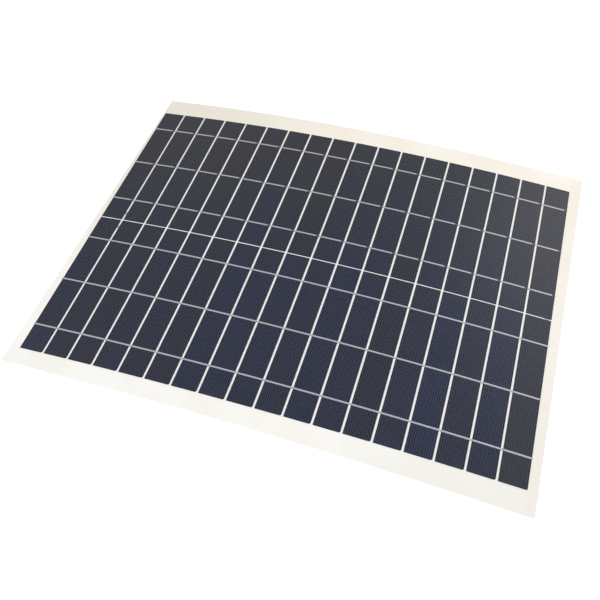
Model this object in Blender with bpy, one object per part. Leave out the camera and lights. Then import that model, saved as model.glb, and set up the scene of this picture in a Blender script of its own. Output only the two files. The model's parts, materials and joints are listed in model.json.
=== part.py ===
"""Flexible solar sheet: two strings of eighteen strip cells laminated between a white board and a clear film.

The sheet stands on its junction box and its right-hand edge, bowed a little upwards along its length. The
laminate is divided into five flat segments at column gaps, and each fold between them is a hinge line, so
that the bow can deepen, flatten or reverse.
+X runs along the sheet's length, +Y across it, +Z up. The origin is at the bottom centre of the whole part.

Layout coordinates: u along the length and v across the width, both from the middle of the cells, and w up
from the underside of the board. An empty on each segment's fold line carries that segment's pieces.
"""

import math

import bmesh
import bpy
from mathutils import Vector

MM = 0.001

# --- driving dimensions, in millimetres --------------------------------------------------------------
WAFER = 156.0  # side of the full wafer that the strips are cut from
STRIPS_PER_WAFER = 7
COLUMNS = 18
COLUMN_GAP = 2.05
ROW_GAP = 1.8
# Board beyond the cells at each corner, (along u, along v). The sheet isn't trimmed quite square.
CORNER_MARGINS = {
    (-1, -1): (10.4, 15.4),
    (1, -1): (8.2, 19.5),
    (1, 1): (11.3, 19.4),
    (-1, 1): (2.0, 21.6),
}
SEGMENT_COLUMNS = (3, 4, 4, 4, 3)
REST_FOLD_DEG = 2.45  # fold at each hinge line, as the sheet lies
FOLD_GAP = 0.4  # clearance between neighbouring segments

# Levels are (lower, upper) heights of w.
BOARD_LEVEL = (0.0, 1.0)
ENCAPSULANT_LEVEL = (1.05, 1.35)
BUS_LEVEL = (1.4, 1.6)
CELL_LEVEL = (1.65, 1.85)
RIBBON_TOP = 2.0
FILM_LEVEL = (2.1, 2.5)

RIBBON_WIDTH = 1.5
RIBBON_SHORT = 2.8  # bare cell between the ribbon's end and the cell's edge
RIBBON_NUB = 0.7  # ribbon past the cell's other edge, in the gap
RIBBON_SINK = 0.05  # overlap that joins the ribbon to its cell
CELL_CORNER = 0.8
BUS_WIDTH = 4.0
BUS_INSET = 4.0  # bus ribbon's centre line, in from the cells' outer edge
LEAD_THICK = 0.4
LEAD_WIDTH = 4.0
LEAD_V = 9.0  # each lead's distance from the centre line

BOX_LENGTH = 54.0  # along u
BOX_WIDTH = 72.0  # along v
BOX_WALL = 2.0
BOX_FROM_END = 29.0  # box centre, in from the cells' left-hand edge
BOX_CORNER = 6.0
PAD_LEVEL = (-0.7, -0.1)
BASE_LEVEL = (-13.4, -0.8)
BASE_ROOF = 2.0
GASKET_LEVEL = (-14.3, -13.5)
LID_LEVEL = (-16.6, -14.4)
LID_CHAMFER = 0.8
LIP_TOP = -12.3  # the lid's locating lip stands inside the gasket and the base
FIT = 0.3  # clearance round the lip

SLOT_SIZE = (7.0, 26.0)  # opening for the two leads, along u and v
SLOT_FROM_BOX = 10.0  # slot centre, from the box's centre
TAB_LEVEL = (-4.8, -4.4)  # solder tab at the end of each lead
TAB_SIZE = (14.0, 10.0)
DIODE_LEVEL = -5.4
DIODE_RADIUS = 2.2
DIODE_LENGTH = 9.0
DIODE_WIRE_RADIUS = 0.5
DIODE_REACH = 13.0  # each wire's end, from the centre line

GROMMET_LEVEL = -7.6
GROMMET_BORE = 3.0  # radius for the cable
GROMMET_NECK = 3.9
GROMMET_FLANGE = 5.2
GROMMET_INNER = 4.5
GROMMET_OUT = 7.0  # nose beyond the wall
FLANGE_THICK = 1.8
CLEARANCE = 0.1
ROUND_SIDES = 24
OVERSHOOT = 1.0  # how far a cutter runs past the faces it cuts

# --- derived sizes -----------------------------------------------------------------------------------
CELL_WIDTH = WAFER / STRIPS_PER_WAFER
PITCH = CELL_WIDTH + COLUMN_GAP
FIELD_LENGTH = COLUMNS * PITCH - COLUMN_GAP
FIELD_WIDTH = 2 * WAFER + ROW_GAP
SEGMENTS = len(SEGMENT_COLUMNS)
ROOT = SEGMENTS // 2
HINGE_LEVEL = FILM_LEVEL[1] / 2
BUSBARS = (-WAFER / 3, 0.0, WAFER / 3)  # ribbon centre lines, from the cell's centre
BOX_U = -FIELD_LENGTH / 2 + BOX_FROM_END
SLOT_U = BOX_U + SLOT_FROM_BOX


def corner(side_u, side_v):
    """(u, v) of one corner of the sheet."""
    margin_u, margin_v = CORNER_MARGINS[side_u, side_v]
    return side_u * (FIELD_LENGTH / 2 + margin_u), side_v * (FIELD_WIDTH / 2 + margin_v)


def long_edge(u, side_v):
    """The point of a long edge at this u."""
    (u0, v0), (u1, v1) = corner(-1, side_v), corner(1, side_v)
    return u, v0 + (v1 - v0) * (u - u0) / (u1 - u0)


def fold_lines():
    """u of the line between each two segments, at the middle of a column gap."""
    lines = []
    column = 0
    for count in SEGMENT_COLUMNS[:-1]:
        column += count
        lines.append((column - COLUMNS / 2) * PITCH)
    return lines


FOLDS = fold_lines()


# --- how the folded sheet stands ---------------------------------------------------------------------
def turned(point, angle):
    """A point (x, z) turned about the origin, so that a positive angle lifts +X."""
    x, z = point
    return x * math.cos(angle) - z * math.sin(angle), x * math.sin(angle) + z * math.cos(angle)


def folded(u, w, segment):
    """(x, z) of a layout point on a segment, with the middle segment level and in its layout place."""
    x, z = u, w
    hinges = range(segment, ROOT) if segment < ROOT else range(segment - 1, ROOT - 1, -1)
    angle = math.radians(REST_FOLD_DEG) * (1 if segment < ROOT else -1)
    for hinge in hinges:
        du, dw = turned((x - FOLDS[hinge], z - HINGE_LEVEL), angle)
        x, z = FOLDS[hinge] + du, HINGE_LEVEL + dw
    return x, z


def standing():
    """(angle, x, y, z) that stands the folded sheet on its junction box's lid and its right-hand edge."""
    corners = {sides: corner(*sides) for sides in CORNER_MARGINS}
    left, right = min(u for u, _ in corners.values()), max(u for u, _ in corners.values())
    across = [v for _, v in corners.values()]
    flat_half = BOX_LENGTH / 2 - LID_CHAMFER
    feet = [folded(BOX_U + side * flat_half, LID_LEVEL[0], 0) for side in (-1, 1)]
    edge = folded(right, 0, SEGMENTS - 1)
    angle = min(math.atan2(foot[1] - edge[1], edge[0] - foot[0]) for foot in feet)
    ends = [
        turned(folded(u, w, segment), angle)[0]
        for u, segment in ((left, 0), (right, SEGMENTS - 1))
        for w in (0, FILM_LEVEL[1])
    ]
    lowest = turned(edge, angle)[1]
    return angle, -(min(ends) + max(ends)) / 2, -(min(across) + max(across)) / 2, -lowest


# --- modelling helpers -------------------------------------------------------------------------------
def clear_scene():
    for obj in list(bpy.data.objects):
        bpy.data.objects.remove(obj)


def link(obj):
    bpy.context.scene.collection.objects.link(obj)
    return obj


def material(name, colour, roughness, metallic=0.0):
    made = bpy.data.materials.new(name)
    made.use_nodes = True
    shader = made.node_tree.nodes["Principled BSDF"]
    shader.inputs["Base Color"].default_value = (*colour, 1.0)
    shader.inputs["Roughness"].default_value = roughness
    shader.inputs["Metallic"].default_value = metallic
    return made


def solid(name, points, faces):
    """A mesh object from points in millimetres, with its faces turned outwards."""
    mesh = bpy.data.meshes.new(name)
    mesh.from_pydata([tuple(c * MM for c in point) for point in points], [], faces)
    shape = bmesh.new()
    shape.from_mesh(mesh)
    bmesh.ops.recalc_face_normals(shape, faces=shape.faces)
    shape.to_mesh(mesh)
    shape.free()
    return link(bpy.data.objects.new(name, mesh))


def skin(rings, sides, closed):
    """Faces between rings of points, each ring numbered after the last, with caps unless it's closed."""
    steps = rings if closed else rings - 1
    faces = [
        (
            i * sides + k,
            i * sides + (k + 1) % sides,
            (i + 1) % rings * sides + (k + 1) % sides,
            (i + 1) % rings * sides + k,
        )
        for i in range(steps)
        for k in range(sides)
    ]
    if not closed:
        faces += [tuple(range(sides)), tuple(range((rings - 1) * sides, rings * sides))]
    return faces


def loft(name, rings):
    """A solid through outlines in XY with the same number of points, given as (outline, z)."""
    points = [(x, y, z) for outline, z in rings for x, y in outline]
    return solid(name, points, skin(len(rings), len(rings[0][0]), False))


def prism(name, outline, level):
    return loft(name, [(outline, z) for z in level])


def block(name, span_u, span_v, level):
    (u0, u1), (v0, v1) = span_u, span_v
    return prism(name, [(u0, v0), (u1, v0), (u1, v1), (u0, v1)], level)


def rounded_rectangle(length, width, radius, steps=5):
    """Outline of a rectangle about the origin with round corners."""
    outline = []
    for quarter, (sx, sy) in enumerate(((1, 1), (-1, 1), (-1, -1), (1, -1))):
        centre = Vector((sx * (length / 2 - radius), sy * (width / 2 - radius)))
        for step in range(steps + 1):
            angle = math.pi / 2 * (quarter + step / steps)
            outline.append(tuple(centre + radius * Vector((math.cos(angle), math.sin(angle)))))
    return outline


def turned_piece(name, profile, closed=False, sides=ROUND_SIDES):
    """A round piece about the X axis from (x, radius) pairs. A closed profile leaves the bore open."""
    angles = [2 * math.pi * k / sides for k in range(sides)]
    points = [(x, r * math.cos(a), r * math.sin(a)) for x, r in profile for a in angles]
    piece = solid(name, points, skin(len(profile), sides, closed))
    piece.data.shade_smooth()
    piece.data.set_sharp_from_angle(angle=math.radians(35))
    return piece


def boolean(obj, other, operation):
    """Joins or cuts with another object, which becomes a hidden helper in the piece's own space."""
    modifier = obj.modifiers.new(operation.title(), "BOOLEAN")
    modifier.operation = operation
    modifier.solver = "EXACT"
    modifier.object = other
    other.hide_render = True
    other.display_type = "WIRE"
    other.parent = obj


def centred(obj, u, v=0.0, w=0.0):
    """Moves a piece built about its own centre to its place in the layout."""
    obj.location = Vector((u, v, w)) * MM
    return obj


def mount_on(carrier, obj, finish):
    """Gives a piece its material and hangs it on its segment's empty."""
    if finish.name not in obj.data.materials:
        obj.data.materials.append(finish)
    obj.parent = carrier
    obj.location = obj.location - Vector(carrier["layout_origin"])
    return obj


# --- segments ----------------------------------------------------------------------------------------
def segment_empties():
    """One empty for each segment. The middle one carries the rest, each turned about its fold line."""
    angle, *place = standing()
    empties = [link(bpy.data.objects.new(f"segment_{i + 1}", None)) for i in range(SEGMENTS)]
    root = empties[ROOT]
    root.location = Vector(place) * MM
    root.rotation_euler = (0, -angle, 0)
    root["layout_origin"] = (0.0, 0.0, 0.0)
    for side in (-1, 1):
        for step in range(1, ROOT + 1):
            index = ROOT + side * step
            carrier = empties[index - side]
            fold = FOLDS[index if side < 0 else index - 1]
            origin = (fold * MM, 0.0, HINGE_LEVEL * MM)
            empties[index].parent = carrier
            empties[index].location = Vector(origin) - Vector(carrier["layout_origin"])
            empties[index].rotation_euler = (0, side * math.radians(REST_FOLD_DEG), 0)
            empties[index]["layout_origin"] = origin
    return empties


def segment_of_column(column):
    index = 0
    while column >= sum(SEGMENT_COLUMNS[: index + 1]):
        index += 1
    return index


# --- laminate ----------------------------------------------------------------------------------------
def lead_slot(name, level, centre_u):
    """Cutter for the opening that the two leads pass through."""
    length, width = SLOT_SIZE
    return block(
        name, (centre_u - length / 2, centre_u + length / 2), (-width / 2, width / 2), level
    )


def layers(empties, finishes):
    """Board, rear encapsulant and front film of every segment."""
    kinds = ("back_board", "encapsulant", "front_film")
    levels = (BOARD_LEVEL, ENCAPSULANT_LEVEL, FILM_LEVEL)
    for index, carrier in enumerate(empties):
        if index == 0:
            left = [corner(-1, side) for side in (-1, 1)]
        else:
            left = [long_edge(FOLDS[index - 1] + FOLD_GAP / 2, side) for side in (-1, 1)]
        if index == SEGMENTS - 1:
            right = [corner(1, side) for side in (-1, 1)]
        else:
            right = [long_edge(FOLDS[index] - FOLD_GAP / 2, side) for side in (-1, 1)]
        outline = [left[0], right[0], right[1], left[1]]
        for kind, level, finish in zip(kinds, levels, finishes):
            name = f"{kind}_{index + 1}"
            layer = prism(name, outline, level)
            if index == 0 and kind != "front_film":
                through = (level[0] - OVERSHOOT, level[1] + OVERSHOOT)
                boolean(layer, lead_slot(f"{name}_cutter", through, SLOT_U), "DIFFERENCE")
            mount_on(carrier, layer, finish)


def cell_mesh():
    """One strip cell about its own centre, with its three front ribbons running out over its -X edge."""
    outline = rounded_rectangle(CELL_WIDTH, WAFER, CELL_CORNER, 3)
    cell = prism("cell_pattern", outline, CELL_LEVEL)
    for number, busbar in enumerate(BUSBARS):
        ribbon = block(
            f"ribbon_pattern_{number + 1}",
            (-CELL_WIDTH / 2 - RIBBON_NUB, CELL_WIDTH / 2 - RIBBON_SHORT),
            (busbar - RIBBON_WIDTH / 2, busbar + RIBBON_WIDTH / 2),
            (CELL_LEVEL[1] - RIBBON_SINK, RIBBON_TOP),
        )
        boolean(cell, ribbon, "UNION")
    graph = bpy.context.evaluated_depsgraph_get()
    mesh = bpy.data.meshes.new_from_object(cell.evaluated_get(graph))
    for helper in [*cell.children, cell]:
        bpy.data.objects.remove(helper)
    return mesh


def cells(empties, finish):
    """The upper string's ribbons run out to the left. The lower string's cells are turned half round."""
    mesh = cell_mesh()
    for row, side, turn in (("upper", 1, 0.0), ("lower", -1, math.pi)):
        for column in range(COLUMNS):
            cell = link(bpy.data.objects.new(f"cell_{row}_{column + 1:02d}", mesh))
            cell.rotation_euler = (0, 0, turn)
            u = (column + 0.5 - COLUMNS / 2) * PITCH
            centred(cell, u, side * (WAFER + ROW_GAP) / 2)
            mount_on(empties[segment_of_column(column)], cell, finish)


def bus_ribbons(empties, finish):
    """The right-hand ribbon joins the two strings, and the left-hand ones run down into the box."""
    reach = (WAFER + ROW_GAP) / 2 + BUSBARS[-1] + BUS_WIDTH / 2
    bus_u = FIELD_LENGTH / 2 - BUS_INSET
    half = BUS_WIDTH / 2
    right = block("bus_ribbon_right", (bus_u - half, bus_u + half), (-reach, reach), BUS_LEVEL)
    mount_on(empties[-1], right, finish)
    near, far = LEAD_V - LEAD_WIDTH / 2, LEAD_V + LEAD_WIDTH / 2
    pieces = (
        # name, span along u, span along v away from the centre line, level
        ("run", (-bus_u, SLOT_U), (near, far), BUS_LEVEL),
        ("drop", (SLOT_U - LEAD_THICK, SLOT_U), (near, far), (TAB_LEVEL[0], BUS_LEVEL[1])),
        ("tab", (SLOT_U - TAB_SIZE[0], SLOT_U), (near, near + TAB_SIZE[1]), TAB_LEVEL),
    )
    for row, side in (("upper", 1), ("lower", -1)):
        span_v = sorted((side * near, side * reach))
        strip = block(f"bus_ribbon_left_{row}", (-bus_u - half, -bus_u + half), span_v, BUS_LEVEL)
        for kind, span_u, away, level in pieces:
            span_v = sorted(side * v for v in away)
            boolean(strip, block(f"lead_{kind}_{row}", span_u, span_v, level), "UNION")
        mount_on(empties[0], strip, finish)


# --- junction box on the underside -------------------------------------------------------------------
def box_outline(inset=0.0):
    return rounded_rectangle(BOX_LENGTH - 2 * inset, BOX_WIDTH - 2 * inset, BOX_CORNER - inset)


def box_shell(carrier, rubber, plastic):
    inside = box_outline(BOX_WALL)
    pad = prism("adhesive_pad", box_outline(), PAD_LEVEL)
    base = prism("junction_base", box_outline(), BASE_LEVEL)
    hollow = (BASE_LEVEL[0] - OVERSHOOT, BASE_LEVEL[1] - BASE_ROOF)
    boolean(base, prism("base_hollow_cutter", inside, hollow), "DIFFERENCE")
    for piece in (pad, base):
        through = (hollow[1] - OVERSHOOT, OVERSHOOT)
        slot = lead_slot(f"{piece.name}_slot_cutter", through, SLOT_FROM_BOX)
        boolean(piece, slot, "DIFFERENCE")
    wall = (BOX_LENGTH / 2 - BOX_WALL - OVERSHOOT, BOX_LENGTH / 2 + OVERSHOOT)
    bore = turned_piece("base_bore_cutter", [(x, GROMMET_NECK + CLEARANCE) for x in wall])
    boolean(base, centred(bore, 0, w=GROMMET_LEVEL), "DIFFERENCE")
    gasket = prism("junction_gasket", box_outline(), GASKET_LEVEL)
    opening = (GASKET_LEVEL[0] - OVERSHOOT, GASKET_LEVEL[1] + OVERSHOOT)
    boolean(gasket, prism("gasket_cutter", inside, opening), "DIFFERENCE")
    lip = box_outline(BOX_WALL + FIT)
    lid = loft(
        "junction_lid",
        [
            (box_outline(LID_CHAMFER), LID_LEVEL[0]),
            (box_outline(), LID_LEVEL[0] + LID_CHAMFER),
            (box_outline(), LID_LEVEL[1]),
            (lip, LID_LEVEL[1]),
            (lip, LIP_TOP),
        ],
    )
    for piece, finish in ((pad, rubber), (base, plastic), (gasket, rubber), (lid, plastic)):
        mount_on(carrier, centred(piece, BOX_U), finish)


def grommet(carrier, rubber):
    """Cable inlet that grips the box's wall between two flanges."""
    inner = -BOX_WALL - CLEARANCE
    profile = [
        (GROMMET_OUT, GROMMET_BORE),
        (GROMMET_OUT, GROMMET_NECK),
        (FLANGE_THICK + CLEARANCE, GROMMET_FLANGE),
        (CLEARANCE, GROMMET_FLANGE),
        (CLEARANCE, GROMMET_NECK),
        (inner, GROMMET_NECK),
        (inner, GROMMET_INNER),
        (inner - FLANGE_THICK, GROMMET_INNER),
        (inner - FLANGE_THICK, GROMMET_BORE),
    ]
    piece = turned_piece("cable_grommet", profile, closed=True)
    mount_on(carrier, centred(piece, BOX_U + BOX_LENGTH / 2, w=GROMMET_LEVEL), rubber)


def bypass_diode(carrier, plastic):
    half = DIODE_LENGTH / 2
    profile = [
        (-DIODE_REACH, DIODE_WIRE_RADIUS),
        (-half, DIODE_WIRE_RADIUS),
        (-half, DIODE_RADIUS),
        (half, DIODE_RADIUS),
        (half, DIODE_WIRE_RADIUS),
        (DIODE_REACH, DIODE_WIRE_RADIUS),
    ]
    diode = turned_piece("bypass_diode", profile)
    diode.rotation_euler = (0, 0, math.pi / 2)
    mount_on(carrier, centred(diode, SLOT_U - TAB_SIZE[0] / 2, w=DIODE_LEVEL), plastic)


def main():
    clear_scene()
    white_board = material("white_board", (0.86, 0.84, 0.79), 0.55)
    encapsulant = material("encapsulant", (0.88, 0.87, 0.84), 0.45)
    clear_film = material("clear_film", (0.80, 0.82, 0.84), 0.25)
    silicon = material("silicon", (0.035, 0.045, 0.075), 0.35)
    tinned_copper = material("tinned_copper", (0.62, 0.60, 0.58), 0.35, 1.0)
    black_plastic = material("black_plastic", (0.03, 0.03, 0.032), 0.5)
    black_rubber = material("black_rubber", (0.02, 0.02, 0.02), 0.8)

    empties = segment_empties()
    layers(empties, (white_board, encapsulant, clear_film))
    cells(empties, silicon)
    bus_ribbons(empties, tinned_copper)
    box_shell(empties[0], black_rubber, black_plastic)
    grommet(empties[0], black_rubber)
    bypass_diode(empties[0], black_plastic)


main()
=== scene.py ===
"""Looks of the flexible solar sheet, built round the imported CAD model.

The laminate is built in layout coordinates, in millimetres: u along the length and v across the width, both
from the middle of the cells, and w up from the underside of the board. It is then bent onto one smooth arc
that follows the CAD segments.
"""

import json
import math
import random

import bmesh
import bpy
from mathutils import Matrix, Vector


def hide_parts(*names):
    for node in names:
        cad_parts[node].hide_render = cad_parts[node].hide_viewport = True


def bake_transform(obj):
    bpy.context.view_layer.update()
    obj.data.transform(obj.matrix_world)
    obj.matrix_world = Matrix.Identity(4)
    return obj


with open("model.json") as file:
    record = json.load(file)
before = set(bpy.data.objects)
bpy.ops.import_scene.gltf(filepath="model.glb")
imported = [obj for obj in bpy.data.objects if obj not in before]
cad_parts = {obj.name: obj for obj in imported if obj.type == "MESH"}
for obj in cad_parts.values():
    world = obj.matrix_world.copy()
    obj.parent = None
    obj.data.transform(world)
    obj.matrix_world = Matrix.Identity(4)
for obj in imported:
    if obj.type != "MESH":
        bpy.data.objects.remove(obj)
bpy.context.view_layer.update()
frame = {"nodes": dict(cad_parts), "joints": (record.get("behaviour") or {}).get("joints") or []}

MM = 0.001

# --- layout, in millimetres ----------------------------------------------------------------------------
WAFER = 156.0
STRIPS_PER_WAFER = 7
COLUMNS = 18
ROW_GAP = 1.8
# Board beyond the cells at each corner, (along u, along v)
CORNER_MARGINS = {
    (-1, -1): (10.4, 15.4),
    (1, -1): (8.2, 19.5),
    (1, 1): (11.3, 19.4),
    (-1, 1): (2.0, 21.6),
}
CELL_WIDTH = WAFER / STRIPS_PER_WAFER
BUSBARS = (-WAFER / 3, 0.0, WAFER / 3)
BACK_LEVEL = (0.0, 1.55)  # board with the rear encapsulant fused onto it
BUS_LEVEL = (1.56, 1.63)
CELL_LEVEL = (1.65, 1.85)
RIBBON_LEVEL = (1.84, 2.02)
FILM_TOP = 2.5
FILM_FOOT = 1.53  # where the film ends, just inside the board
HINGE_LEVEL = 1.25
EDGE_CHAMFER = 0.18

RIBBON_WIDTH = 1.45
RIBBON_SHOULDER = (0.22, 0.06)  # rounding of a ribbon's upper edges, across and down
RIBBON_SHORT = {"upper": 2.8, "lower": 0.25}  # bare cell at the ribbon's open end
STUB = 0.9  # ribbon end past the outermost cells
STUB_HALF = 0.7
BUS_WIDTH = 4.0
BUS_INSET = 4.0
CORNER_ROUND = {"upper": 0.7, "lower": 1.7}  # a strip's right-hand outer corner
CORNER_EASE = 0.12  # its other corners
CORNER_STEPS = 4
CORNER_CLEAR = 2.0  # from a strip's edge to its first full section
INNER_END = 0.3  # strips reach this much further into the gap between the rows
FINGER_PITCH = 1.88
END_LINE_INSET = 1.2  # printed line along a strip's short edges
WEAVE_PITCH = 1.1
STRIP_SPREAD = 0.15  # each strip looks this much wider, on each side, than a seventh of the wafer

SEGMENT_SPAN = 4  # columns between neighbouring fold lines
STATION = 3.1  # longest step along a bent piece

# --- the sheet's place, from the joints ------------------------------------------------------------------
joint_at = {j["name"]: Vector(j["pos_m"]) for j in frame["joints"]}
folds = [
    joint_at[name]
    for name in ("fold_left_outer", "fold_left_inner", "fold_right_inner", "fold_right_outer")
]
CENTRE = (folds[1] + folds[2]) / 2
AXIS_V = Vector((0, 1, 0))
AXIS_U = (folds[2] - folds[1]).normalized()
AXIS_W = AXIS_U.cross(AXIS_V)
PITCH = (folds[2] - folds[1]).length / SEGMENT_SPAN / MM
ARC_RADIUS = SEGMENT_SPAN * PITCH / AXIS_U.angle(folds[3] - folds[2])
FIELD_HALF = COLUMNS * PITCH / 2 - (PITCH - CELL_WIDTH) / 2
FIELD_SIDE = WAFER + ROW_GAP / 2

BEND_EDGES = [-FIELD_HALF, -SEGMENT_SPAN * PITCH, 0.0, SEGMENT_SPAN * PITCH, FIELD_HALF]
# In columns from the sheet's centre.
BEND_RANGES = [(-6.65, -5), (-4, 0), (0, 4), (4, 8)]


def on_arc(u, v, w):
    """World place, in metres, of a layout point on the bowed sheet.

    The arc touches each CAD segment at its middle, and runs out straight along the outermost ones.
    """
    limit = 2 * SEGMENT_SPAN * PITCH
    on_bend = max(-limit, min(limit, u))
    angle = on_bend / ARC_RADIUS
    reach = ARC_RADIUS + w - HINGE_LEVEL
    along = reach * math.sin(angle) + (u - on_bend) * math.cos(angle)
    up = reach * math.cos(angle) - ARC_RADIUS - (u - on_bend) * math.sin(angle)
    return CENTRE + (AXIS_U * along + AXIS_V * v + AXIS_W * up) * MM


def corner(side_u, side_v):
    """(u, v) of one corner of the sheet."""
    margin_u, margin_v = CORNER_MARGINS[side_u, side_v]
    return side_u * (FIELD_HALF + margin_u), side_v * (FIELD_SIDE + margin_v)


def edge_point(u, side_v, inset):
    """The layout point of a long edge at this u, moved in from the edge.

    Past the last cut between pieces, u is stretched so that the cells' outer edge maps onto the sheet's end.
    """
    side_u = math.copysign(1, u)
    end = corner(side_u, side_v)[0] - side_u * inset
    last_cut = side_u * SEGMENT_SPAN * PITCH
    if abs(u) > abs(last_cut):
        u = last_cut + (u - last_cut) * (end - last_cut) / (side_u * FIELD_HALF - last_cut)
    (u0, v0), (u1, v1) = corner(-1, side_v), corner(1, side_v)
    return u, v0 + (v1 - v0) * (u - u0) / (u1 - u0) - side_v * inset


def bend_in_zone(obj):
    """Bakes the piece's place into its mesh."""
    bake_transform(obj)


# --- mesh building -----------------------------------------------------------------------------------
def new_object(name, points, faces, smooth=True, tint=0.5):
    """A piece from layout points, bent onto the arc, that remembers its layout place for its materials."""
    mesh = bpy.data.meshes.new(name)
    mesh.from_pydata([on_arc(*point) for point in points], [], faces)
    shape = bmesh.new()
    shape.from_mesh(mesh)
    bmesh.ops.recalc_face_normals(shape, faces=shape.faces)
    shape.to_mesh(mesh)
    shape.free()
    layout = mesh.attributes.new("layout", "FLOAT_VECTOR", "POINT")
    layout.data.foreach_set("vector", [c for point in points for c in point])
    shade = mesh.attributes.new("tint", "FLOAT", "POINT")
    shade.data.foreach_set("value", [tint] * len(points))
    if smooth:
        mesh.shade_smooth()
        mesh.set_sharp_from_angle(angle=math.radians(30))
    obj = bpy.data.objects.new(name, mesh)
    bpy.context.scene.collection.objects.link(obj)
    return obj


def stations(start, end):
    """Evenly spaced places from start to end, close enough together to bend smoothly."""
    count = max(1, math.ceil((end - start) / STATION))
    return [start + (end - start) * i / count for i in range(count + 1)]


def sweep(sections, closed, caps):
    """Points and faces that join sections of equal point count, one after another."""
    count = len(sections[0])
    points = [point for section in sections for point in section]
    sides = count if closed else count - 1
    faces = [
        (
            i * count + k,
            i * count + (k + 1) % count,
            (i + 1) * count + (k + 1) % count,
            (i + 1) * count + k,
        )
        for i in range(len(sections) - 1)
        for k in range(sides)
    ]
    last = (len(sections) - 1) * count
    if caps[0]:
        faces.append(tuple(range(count)))
    if caps[1]:
        faces.append(tuple(range(last, last + count)))
    return points, faces


def box_section(u, v0, v1, w0, w1):
    """The four corners of a rectangular section."""
    return [(u, v0, w0), (u, v1, w0), (u, v1, w1), (u, v0, w1)]


# --- materials ---------------------------------------------------------------------------------------
class Graph:
    """Small helper that adds and links nodes of one material."""

    def __init__(self, name):
        self.material = bpy.data.materials.new(name)
        self.material.use_nodes = True
        self.nodes = self.material.node_tree.nodes
        self.links = self.material.node_tree.links
        self.shader = self.nodes["Principled BSDF"]

    def add(self, kind, **settings):
        made = self.nodes.new(kind)
        for key, value in settings.items():
            setattr(made, key, value)
        return made

    def feed(self, socket, value):
        if isinstance(value, bpy.types.NodeSocket):
            self.links.new(value, socket)
        elif value is not None:
            socket.default_value = value

    def math(self, operation, first, second=None, third=None):
        made = self.add("ShaderNodeMath", operation=operation)
        for socket, value in zip(made.inputs, (first, second, third)):
            self.feed(socket, value)
        return made.outputs[0]

    def mix(self, factor, first, second):
        made = self.add("ShaderNodeMix", data_type="RGBA")
        self.feed(made.inputs[0], factor)
        for socket, value in ((made.inputs[6], first), (made.inputs[7], second)):
            self.feed(socket, (*value, 1.0) if isinstance(value, tuple) else value)
        return made.outputs[2]

    def layout(self):
        """(u, v, w, vector) of the layout place, in millimetres."""
        place = self.add("ShaderNodeAttribute", attribute_name="layout").outputs["Vector"]
        split = self.add("ShaderNodeSeparateXYZ")
        self.feed(split.inputs[0], place)
        return (*split.outputs, place)

    def object_place(self):
        """The place on a CAD node's own mesh, in metres."""
        return self.add("ShaderNodeTexCoord").outputs["Object"]

    def noise(self, place, scale, detail=2.0, rough=0.5):
        made = self.add("ShaderNodeTexNoise")
        self.feed(made.inputs["Vector"], place)
        made.inputs["Scale"].default_value = scale
        made.inputs["Detail"].default_value = detail
        made.inputs["Roughness"].default_value = rough
        return made.outputs["Fac"]

    def ramp(self, value, low, high, out_low=0.0, out_high=1.0):
        made = self.add("ShaderNodeMapRange", interpolation_type="SMOOTHSTEP")
        for socket, given in zip(made.inputs, (value, low, high, out_low, out_high)):
            self.feed(socket, given)
        return made.outputs[0]

    def line(self, distance, half_width, soft):
        """1 within half_width of distance zero, fading to 0 over soft."""
        away = self.math("ABSOLUTE", distance)
        return self.ramp(away, half_width, half_width + soft, 1.0, 0.0)

    def bump(self, height, strength, distance):
        made = self.add("ShaderNodeBump")
        made.inputs["Strength"].default_value = strength
        made.inputs["Distance"].default_value = distance
        self.feed(made.inputs["Height"], height)
        self.feed(self.shader.inputs["Normal"], made.outputs[0])

    def set(self, **values):
        names = {
            "colour": "Base Color",
            "rough": "Roughness",
            "metal": "Metallic",
            "coat": "Coat Weight",
            "coat_rough": "Coat Roughness",
            "specular": "Specular IOR Level",
            "alpha": "Alpha",
        }
        for key, value in values.items():
            if isinstance(value, tuple) and key == "colour":
                value = (*value, 1.0)
            self.feed(self.shader.inputs[names[key]], value)
        return self.material


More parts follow.
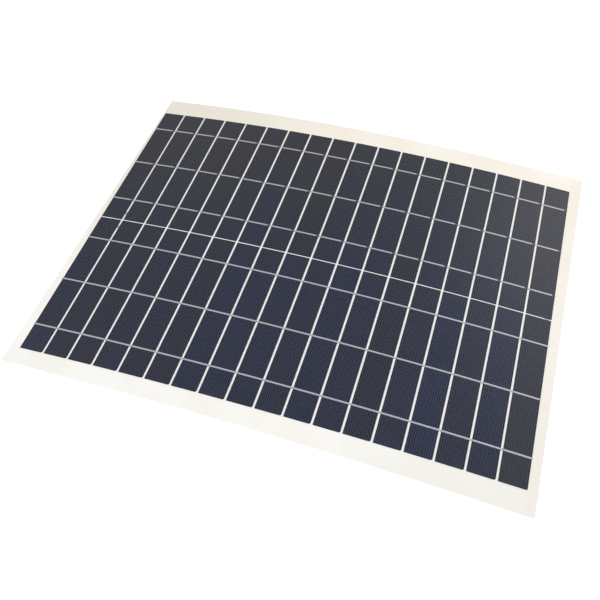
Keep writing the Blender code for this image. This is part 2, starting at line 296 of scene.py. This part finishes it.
def silicon_material():
    """Dark blue-grey multicrystalline silicon with silver fingers, end lines and printed busbars. Painted
    sheen makes it greyer towards the far left and lighter towards the far right, and a painted glint
    brightens the busbars on the left.
    """
    g = Graph("silicon")
    u, v, _, place = g.layout()
    crystals = g.add("ShaderNodeTexVoronoi", voronoi_dimensions="2D")
    warp = g.noise(place, 0.22, 2.0)
    moved = g.add("ShaderNodeVectorMath", operation="ADD")
    g.feed(moved.inputs[0], place)
    lifted = g.add("ShaderNodeVectorMath", operation="SCALE")
    g.feed(lifted.inputs[0], warp)
    lifted.inputs["Scale"].default_value = 6.0
    g.feed(moved.inputs[1], lifted.outputs[0])
    g.feed(crystals.inputs["Vector"], moved.outputs[0])
    crystals.inputs["Scale"].default_value = 0.14
    grain = g.add("ShaderNodeSeparateColor")
    g.feed(grain.inputs[0], crystals.outputs["Color"])
    base = g.mix(grain.outputs[0], (0.0012, 0.0068, 0.0400), (0.0055, 0.0130, 0.0550))
    tint = g.add("ShaderNodeAttribute", attribute_name="tint").outputs["Fac"]
    hue = g.math("FRACT", g.math("MULTIPLY", tint, 7.31))
    base = g.mix(g.math("MULTIPLY", hue, 0.85), base, (0.0092, 0.0100, 0.0185))
    # Painted sheen: the cells turn greyer and less blue towards the far left corner.
    towards_corner = g.math("SUBTRACT", v, g.math("MULTIPLY", u, 0.25))
    far = g.ramp(towards_corner, -0.3 * WAFER, WAFER, 0.0, 0.85)
    base = g.mix(far, base, (0.0112, 0.0112, 0.0115))
    # Painted sheen: the cells turn lighter towards the far right.
    right = g.math(
        "MULTIPLY",
        g.ramp(u, -0.3 * FIELD_HALF, 0.7 * FIELD_HALF),
        g.ramp(v, -0.2 * FIELD_SIDE, 0.8 * FIELD_SIDE, 0.15, 0.75),
    )
    base = g.mix(right, base, (0.0205, 0.0245, 0.0365))
    last_column = g.math(
        "MULTIPLY",
        g.ramp(u, FIELD_HALF - 1.1 * CELL_WIDTH, FIELD_HALF - 0.9 * CELL_WIDTH),
        g.ramp(v, -FIELD_SIDE, 0.0, 0.55, 0.1),
    )
    base = g.mix(last_column, base, (0.0330, 0.0310, 0.0350))
    base = g.mix(g.math("MULTIPLY", tint, 0.35), base, (0.0135, 0.0150, 0.0230))
    fine = g.noise(place, 1.6, 3.0, 0.6)
    base = g.mix(g.ramp(fine, 0.35, 0.7, 0.0, 0.2), base, (0.014, 0.018, 0.040))
    from_row = g.math("SUBTRACT", g.math("ABSOLUTE", v), (WAFER + ROW_GAP) / 2)
    half = WAFER / 2
    from_middle = g.math("ABSOLUTE", from_row)
    inside = g.ramp(from_middle, half - END_LINE_INSET - 0.1, half - END_LINE_INSET + 0.1, 1.0, 0.0)
    wave = g.math("COSINE", g.math("MULTIPLY", u, math.tau / FINGER_PITCH))
    finger = g.math("MULTIPLY", g.ramp(wave, -0.2, 1.0, 0.0, 0.9), inside)
    base = g.mix(finger, base, (0.0380, 0.0430, 0.0580))
    end_line = g.line(g.math("SUBTRACT", from_middle, half - END_LINE_INSET), 0.07, 0.07)
    base = g.mix(g.math("MULTIPLY", end_line, 0.75), base, (0.042, 0.047, 0.063))
    busbar = g.line(g.math("WRAP", from_row, WAFER / 6, -WAFER / 6), 0.6, 0.1)
    # Painted glint: the printed busbars are brightest on the left and fade towards the right.
    shine = g.ramp(u, -0.5 * FIELD_HALF, 0.4 * FIELD_HALF, 1.0, 0.55)
    base = g.mix(g.math("MULTIPLY", busbar, shine), base, (0.15, 0.155, 0.17))
    g.bump(g.noise(place, 0.35, 2.0), 0.05, 0.0002)
    return g.set(colour=base, rough=g.ramp(fine, 0.3, 0.7, 0.30, 0.40), specular=0.18)


def ribbon_material(name, place_of, scale):
    """Dull tinned copper, a little wavy along its length."""
    g = Graph(name)
    streak = g.add("ShaderNodeMapping")
    g.feed(streak.inputs["Vector"], place_of(g))
    streak.inputs["Scale"].default_value = scale
    grain = g.noise(streak.outputs[0], 1.4, 3.0, 0.65)
    colour = g.mix(grain, (0.335, 0.335, 0.355), (0.490, 0.490, 0.515))
    g.bump(grain, 0.35, 0.0002)
    return g.set(colour=colour, metal=0.35, rough=g.ramp(grain, 0.3, 0.7, 0.36, 0.52))


def board_material():
    """Cream-white glass-fibre board: a faint weave, soft clouding and a slightly duller cut edge. Painted
    light makes its far side warmer and darker, and painted shade darkens its upper left, lower right and
    right margin.
    """
    g = Graph("cream_board")
    u, v, w, place = g.layout()
    cloud = g.noise(place, 0.018, 3.0, 0.55)
    # Painted light: the far side is warmer and a little darker than the near side.
    near = g.mix(g.ramp(cloud, 0.35, 0.65), (0.850, 0.830, 0.785), (0.885, 0.872, 0.840))
    far = g.mix(g.ramp(cloud, 0.35, 0.65), (0.830, 0.780, 0.680), (0.865, 0.822, 0.738))
    colour = g.mix(g.ramp(v, -FIELD_SIDE, FIELD_SIDE), near, far)
    off_cells = g.math(
        "MAXIMUM",
        g.math("SUBTRACT", g.math("ABSOLUTE", u), FIELD_HALF),
        g.math("SUBTRACT", g.math("ABSOLUTE", v), FIELD_SIDE),
    )
    colour = g.mix(g.ramp(off_cells, -0.5, 1.0, 0.8, 0.0), colour, (0.830, 0.810, 0.795))
    # Painted shade: the board darkens towards the upper left corner.
    painted_shade_upper_left = g.ramp(g.math("SUBTRACT", v, u), 0.6 * FIELD_HALF, 1.7 * FIELD_HALF, 0.0, 0.85)
    colour = g.mix(painted_shade_upper_left, colour, (0.725, 0.695, 0.605))
    # Painted shade: the board darkens towards the lower right corner.
    painted_shade_lower_right = g.ramp(g.math("SUBTRACT", u, v), 0.9 * FIELD_HALF, 1.6 * FIELD_HALF, 0.0, 0.8)
    colour = g.mix(painted_shade_lower_right, colour, (0.775, 0.765, 0.715))
    # Painted shade: the margin right of the cells is darker and warmer.
    painted_shade_right_margin = g.ramp(u, FIELD_HALF - 1.0, FIELD_HALF + 2.0, 0.0, 0.45)
    colour = g.mix(painted_shade_right_margin, colour, (0.780, 0.735, 0.655))
    weave = g.math(
        "MULTIPLY",
        g.math("SINE", g.math("MULTIPLY", u, math.tau / WEAVE_PITCH)),
        g.math("SINE", g.math("MULTIPLY", v, math.tau / WEAVE_PITCH)),
    )
    colour = g.mix(g.ramp(weave, -0.9, 0.9, 0.0, 0.10), colour, (0.78, 0.75, 0.69))
    speck = g.noise(place, 2.4, 2.0, 0.6)
    colour = g.mix(g.ramp(speck, 0.62, 0.74, 0.0, 0.12), colour, (0.70, 0.66, 0.58))
    low = g.ramp(w, 0.2, 1.2, 1.0, 0.0)
    height = g.math("ADD", g.math("MULTIPLY", weave, g.math("ADD", low, 0.15)), speck)
    g.bump(height, 0.12, 0.0001)
    return g.set(colour=colour, rough=g.ramp(speck, 0.3, 0.7, 0.42, 0.55), specular=0.4)


def film_material():
    """Clear satin film: almost nothing but its soft shine and a faint milkiness."""
    g = Graph("clear_film")
    _, _, _, place = g.layout()
    dimple = g.noise(place, 1.1, 2.0, 0.5)
    wave = g.noise(place, 0.03, 2.0, 0.5)
    g.bump(g.math("ADD", g.math("MULTIPLY", wave, 6.0), dimple), 0.25, 0.0002)
    g.material.surface_render_method = "BLENDED"
    return g.set(
        colour=(0.20, 0.21, 0.23),
        alpha=g.ramp(dimple, 0.2, 0.8, 0.022, 0.03),
        rough=0.28,
        specular=0.5,
    )


def moulded_material(name, colour, rough, grain_scale):
    """Moulded plastic or rubber with a fine eroded texture."""
    g = Graph(name)
    place = g.object_place()
    grain = g.noise(place, grain_scale, 3.0, 0.6)
    cloud = g.noise(place, 60.0, 2.0, 0.5)
    light = tuple(min(1.0, c * 1.5 + 0.004) for c in colour)
    base = g.mix(g.ramp(cloud, 0.3, 0.7), colour, light)
    g.bump(grain, 0.3, 0.0002)
    return g.set(colour=base, rough=g.ramp(grain, 0.3, 0.7, rough - 0.06, rough + 0.08))


SILICON = silicon_material()
RIBBON = ribbon_material("tinned_ribbon", lambda g: g.layout()[3], (0.5, 4.0, 1.0))
LEFT_BUS = ribbon_material("tinned_bus", Graph.object_place, (4000.0, 500.0, 1000.0))
BOARD = board_material()
FILM = film_material()
BOX_PLASTIC = moulded_material("box_plastic", (0.024, 0.024, 0.025), 0.42, 1400.0)
BOX_RUBBER = moulded_material("box_rubber", (0.011, 0.011, 0.011), 0.8, 900.0)


# --- laminate ----------------------------------------------------------------------------------------
def across(u, outline, end_inset=0.0):
    """Points of a section across the sheet, from (side, distance in from the long edge, level)."""
    points = []
    for side_v, inset, w in outline:
        at_u, at_v = edge_point(u, side_v, 0.0)
        points.append((at_u - math.copysign(end_inset, u), at_v - side_v * inset, w))
    return points


def back_outline(extra=0.0):
    """Closed outline of the board across the sheet, with small chamfers."""
    (low, high), chamfer = BACK_LEVEL, EDGE_CHAMFER
    return [
        (-1, chamfer + extra, low),
        (1, chamfer + extra, low),
        (1, extra, low + chamfer),
        (1, extra, high - chamfer),
        (1, chamfer + extra, high),
        (-1, chamfer + extra, high),
        (-1, extra, high - chamfer),
        (-1, extra, low + chamfer),
    ]


FILM_OUTLINE = [
    (-1, 0.0, FILM_FOOT),
    (-1, 0.0, FILM_TOP - EDGE_CHAMFER),
    (-1, EDGE_CHAMFER, FILM_TOP),
    (1, EDGE_CHAMFER, FILM_TOP),
    (1, 0.0, FILM_TOP - EDGE_CHAMFER),
    (1, 0.0, FILM_FOOT),
]


def film_ends(u):
    """The last two sections of the film, which turn it down over the sheet's end."""
    below = [
        (side, inset, min(w, FILM_TOP - EDGE_CHAMFER)) for side, inset, w in FILM_OUTLINE
    ]
    foot = [(side, inset, FILM_FOOT) for side, inset, _ in FILM_OUTLINE]
    return [across(u, below), across(u, foot)]


def outer_ends(zone):
    """Whether the zone's low and high ends are edges of the sheet."""
    return zone == 0, zone == len(BEND_RANGES) - 1


def make_layers():
    """The board and the clear film, one piece of each for every bend."""
    for zone in range(len(BEND_RANGES)):
        low, high = BEND_EDGES[zone], BEND_EDGES[zone + 1]
        caps = outer_ends(zone)
        places = stations(low, high)
        board = [across(u, back_outline()) for u in places]
        film = [across(u, FILM_OUTLINE) for u in places]
        if caps[0]:
            board[0] = across(low, back_outline(), EDGE_CHAMFER)
            board.insert(0, across(low, back_outline(EDGE_CHAMFER)))
            film[0] = across(low, FILM_OUTLINE, EDGE_CHAMFER)
            film = list(reversed(film_ends(low))) + film
        if caps[1]:
            board[-1] = across(high, back_outline(), EDGE_CHAMFER)
            board.append(across(high, back_outline(EDGE_CHAMFER)))
            film[-1] = across(high, FILM_OUTLINE, EDGE_CHAMFER)
            film += film_ends(high)
        back = new_object(f"back_sheet_{zone + 1}", *sweep(board, True, caps))
        back.data.materials.append(BOARD)
        front = new_object(f"clear_film_{zone + 1}", *sweep(film, False, (False, False)))
        front.data.materials.append(FILM)
        members = (1, 2) if zone == 0 else (zone + 2,)
        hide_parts(*(f"{kind}_{n}" for kind in ("back_board", "encapsulant") for n in members))
        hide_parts(*(f"front_film_{n}" for n in members))
        bend_in_zone(back)
        bend_in_zone(front)


def cell_stations(low, high, v_low, v_high, row):
    """(u, v_low, v_high) along a strip. Its right-hand outer corner is rounded, the others only eased."""
    radius = CORNER_ROUND[row]
    eased = CORNER_EASE / radius
    arc = []
    for step in range(CORNER_STEPS):
        angle = math.pi / 2 * step / CORNER_STEPS
        arc.append((radius * (1 - math.sin(angle)), radius * (1 - math.cos(angle))))
    made = [
        (low + in_u * eased, v_low + in_v * eased, v_high - in_v * eased)
        for in_u, in_v in reversed(arc)
    ]
    made += [(u, v_low, v_high) for u in stations(low + CORNER_CLEAR, high - CORNER_CLEAR)]
    at_low, at_high = (1.0, eased) if row == "lower" else (eased, 1.0)
    made += [(high - in_u, v_low + in_v * at_low, v_high - in_v * at_high) for in_u, in_v in arc]
    return made


def plank(rows, low, high):
    """Sections of a flat strip from (u, v_low, v_high) rows."""
    return [box_section(u, v0, v1, low, high) for u, v0, v1 in rows]


# How a ribbon leaves a cell, as (distance past the edge, drop): on under the next cell, round the edge
# of an outermost cell, or as a cut end beyond it.
RIBBON_ENDS = {
    "plain": [],
    "under": [(0.5, 0.05), (1.4, 0.29), (3.1, 0.29)],
    "round": [(0.25, 0.04), (0.4, 0.24)],
    "cut": [(0.4, 0.08), (0.9, 0.24)],
}


def ribbon_sections(start, end, v, left, right):
    """Sections of a ribbon on a cell, from its left-hand end to its right-hand end."""
    half = RIBBON_WIDTH / 2
    soft, drop_edge = RIBBON_SHOULDER
    low, high = RIBBON_LEVEL
    rows = [(start - past, low - drop, high - drop) for past, drop in reversed(RIBBON_ENDS[left])]
    rows += [(u, low, high) for u in stations(start, end)]
    rows += [(end + past, low - drop, high - drop) for past, drop in RIBBON_ENDS[right]]
    return [
        [
            (u, v - half, w0),
            (u, v + half, w0),
            (u, v + half, w1 - drop_edge),
            (u, v + half - soft, w1),
            (u, v - half + soft, w1),
            (u, v - half, w1 - drop_edge),
        ]
        for u, w0, w1 in rows
    ]


def ribbon_run(low, high, row, first, last):
    """Where a ribbon starts and ends on a strip, and how it leaves at each end."""
    if row == "upper":
        return low, high - RIBBON_SHORT[row], "round" if first else "under", "plain"
    start = low if first else low + RIBBON_SHORT[row]
    return start, high, "cut" if first else "plain", "round" if last else "under"


def joined(points, faces, more):
    """Adds more's points and faces to points and faces."""
    faces += [tuple(index + len(points) for index in face) for face in more[1]]
    points += more[0]


def make_cells():
    """The 36 strips, each with its three ribbons."""
    seeded = random.Random(36)
    for row, side in (("upper", 1), ("lower", -1)):
        v = side * (WAFER + ROW_GAP) / 2
        ends = sorted((v + side * WAFER / 2, v - side * (WAFER / 2 + INNER_END)))
        for column in range(COLUMNS):
            u = (column + 0.5 - COLUMNS / 2) * PITCH
            low, high = u - CELL_WIDTH / 2 - STRIP_SPREAD, u + CELL_WIDTH / 2 + STRIP_SPREAD
            strip = cell_stations(low, high, *ends, row)
            points, faces = sweep(plank(strip, *CELL_LEVEL), True, (True, True))
            silicon_faces = len(faces)
            start, end, *leaves = ribbon_run(low, high, row, column == 0, column == COLUMNS - 1)
            for busbar in BUSBARS:
                sections = ribbon_sections(start, end, v + busbar, *leaves)
                joined(points, faces, sweep(sections, True, (True, True)))
            name = f"{row}_{column + 1:02d}"
            cell = new_object(f"strip_{name}", points, faces, tint=seeded.random())
            cell.data.materials.append(SILICON)
            cell.data.materials.append(RIBBON)
            for polygon in cell.data.polygons[silicon_faces:]:
                polygon.material_index = 1
            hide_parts(f"cell_{name}")
            bend_in_zone(cell)


def make_bus():
    """The right-hand bus ribbon behind the outermost cells, and its three ends that show past one of them."""
    reach = FIELD_SIDE - WAFER / 2 + BUSBARS[-1] + BUS_WIDTH / 2
    bus_u = FIELD_HALF - BUS_INSET
    rows = [(u, -reach, reach) for u in stations(bus_u - BUS_WIDTH / 2, bus_u + BUS_WIDTH / 2)]
    points, faces = sweep(plank(rows, *BUS_LEVEL), True, (True, True))
    for busbar in BUSBARS:
        v = (WAFER + ROW_GAP) / 2 + busbar
        rows = [(u, v - STUB_HALF, v + STUB_HALF) for u in stations(bus_u, FIELD_HALF + STUB)]
        joined(points, faces, sweep(plank(rows, *BUS_LEVEL), True, (True, True)))
    bus = new_object("bus_right", points, faces)
    bus.data.materials.append(RIBBON)
    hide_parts("bus_ribbon_right")
    bend_in_zone(bus)


make_layers()
make_cells()
make_bus()


# --- junction box ------------------------------------------------------------------------------------
def dress_node(name, material, edge=0.0):
    """Gives a CAD node its material and, where edge is over 0, edges rounded by that many millimetres."""
    obj = frame["nodes"][name]
    obj.data.materials.clear()
    obj.data.materials.append(material)
    if edge:
        bevel = obj.modifiers.new("soft_edges", "BEVEL")
        bevel.width = edge * MM
        bevel.segments = 2
        bevel.limit_method = "ANGLE"
        bevel.angle_limit = math.radians(50)
        bevel.harden_normals = True


for name, material, edge in (
    ("junction_base", BOX_PLASTIC, 0.35),
    ("junction_lid", BOX_PLASTIC, 0.5),
    ("bypass_diode", BOX_PLASTIC, 0.0),
    ("adhesive_pad", BOX_RUBBER, 0.0),
    ("junction_gasket", BOX_RUBBER, 0.0),
    ("cable_grommet", BOX_RUBBER, 0.25),
):
    dress_node(name, material, edge)
for name in ("bus_ribbon_left_upper", "bus_ribbon_left_lower"):
    dress_node(name, LEFT_BUS)


# --- floor, lights and camera ------------------------------------------------------------------------
STUDIO_RADIUS = 8.0


def stage_piece(name, shape, colour, glow):
    """A plain matt piece of the studio, which isn't part of the object."""
    mesh = bpy.data.meshes.new(name)
    shape.to_mesh(mesh)
    shape.free()
    obj = bpy.data.objects.new(name, mesh)
    bpy.context.scene.collection.objects.link(obj)
    g = Graph(name)
    g.shader.inputs["Emission Color"].default_value = (1.0, 1.0, 1.0, 1.0)
    g.shader.inputs["Emission Strength"].default_value = glow
    mesh.materials.append(g.set(colour=colour, rough=0.9, specular=0.1))
    return obj


def make_studio():
    """A pale floor, and a white dome beyond it that neither lights nor shades the object."""
    shape = bmesh.new()
    bmesh.ops.create_circle(shape, cap_ends=True, radius=STUDIO_RADIUS, segments=64)
    stage_piece("floor", shape, (0.94, 0.94, 0.94), 0.35)
    shape = bmesh.new()
    bmesh.ops.create_icosphere(shape, subdivisions=4, radius=STUDIO_RADIUS)
    dome = stage_piece("backdrop", shape, (0.0, 0.0, 0.0), 1.0)
    dome.visible_diffuse = dome.visible_glossy = False
    dome.visible_transmission = dome.visible_shadow = False


def area_light(name, place, size, power, colour=(1.0, 1.0, 1.0)):
    """A rectangular light that points at the object."""
    data = bpy.data.lights.new(name, "AREA")
    data.shape = "RECTANGLE"
    data.size, data.size_y = size
    data.energy = power
    data.color = colour
    light = bpy.data.objects.new(name, data)
    bpy.context.scene.collection.objects.link(light)
    light.location = place
    light.rotation_euler = (-Vector(place)).to_track_quat("-Z", "Y").to_euler()


def make_world():
    """Even white light from all round."""
    world = bpy.data.worlds.new("studio")
    bpy.context.scene.world = world
    world.use_nodes = True
    background = world.node_tree.nodes["Background"]
    background.inputs["Color"].default_value = (1.0, 1.0, 1.0, 1.0)
    background.inputs["Strength"].default_value = 0.66


# The camera's place and aim are given on the level sheet, from its centre, in metres.
CAMERA_PLACE = (0.1268, -0.3706, 0.5069)
CAMERA_AIM = (0.0043, -0.0472, 0.0007)
CAMERA_ROLL_DEG = -3.68
CAMERA_LENS = 41.8


def make_camera():
    """The camera, placed in the level sheet's own frame."""
    data = bpy.data.cameras.new("camera")
    data.sensor_width = 36.0
    data.lens = CAMERA_LENS
    data.clip_start, data.clip_end = 0.01, 50.0
    camera = bpy.data.objects.new("camera", data)
    bpy.context.scene.collection.objects.link(camera)

    def placed(point):
        x, y, z = point
        return CENTRE + AXIS_U * x + AXIS_V * y + AXIS_W * z

    place, aim = placed(CAMERA_PLACE), placed(CAMERA_AIM)
    forward = (aim - place).normalized()
    right = forward.cross(AXIS_W).normalized()
    up = right.cross(forward)
    roll = math.radians(CAMERA_ROLL_DEG)
    right, up = (
        right * math.cos(roll) + up * math.sin(roll),
        up * math.cos(roll) - right * math.sin(roll),
    )
    turn = camera.matrix_world.copy()
    for row in range(3):
        turn[row][0], turn[row][1], turn[row][2] = right[row], up[row], -forward[row]
        turn[row][3] = place[row]
    camera.matrix_world = turn
    bpy.context.scene.camera = camera


make_studio()
make_world()
area_light("key", (0.7, -1.2, 1.6), (1.4, 1.4), 15.0, (1.0, 0.995, 0.985))
area_light("fill", (-1.5, -0.3, 1.4), (1.6, 1.6), 7.0)
area_light("back", (1.0, 1.5, 1.4), (1.0, 1.0), 12.0, (1.0, 0.99, 0.98))
area_light("back_wide", (-0.6, 2.0, 1.5), (2.4, 1.0), 4.5, (1.0, 0.99, 0.96))
make_camera()
scene = bpy.context.scene
scene.view_settings.view_transform = "Standard"
scene.view_settings.look = "None"
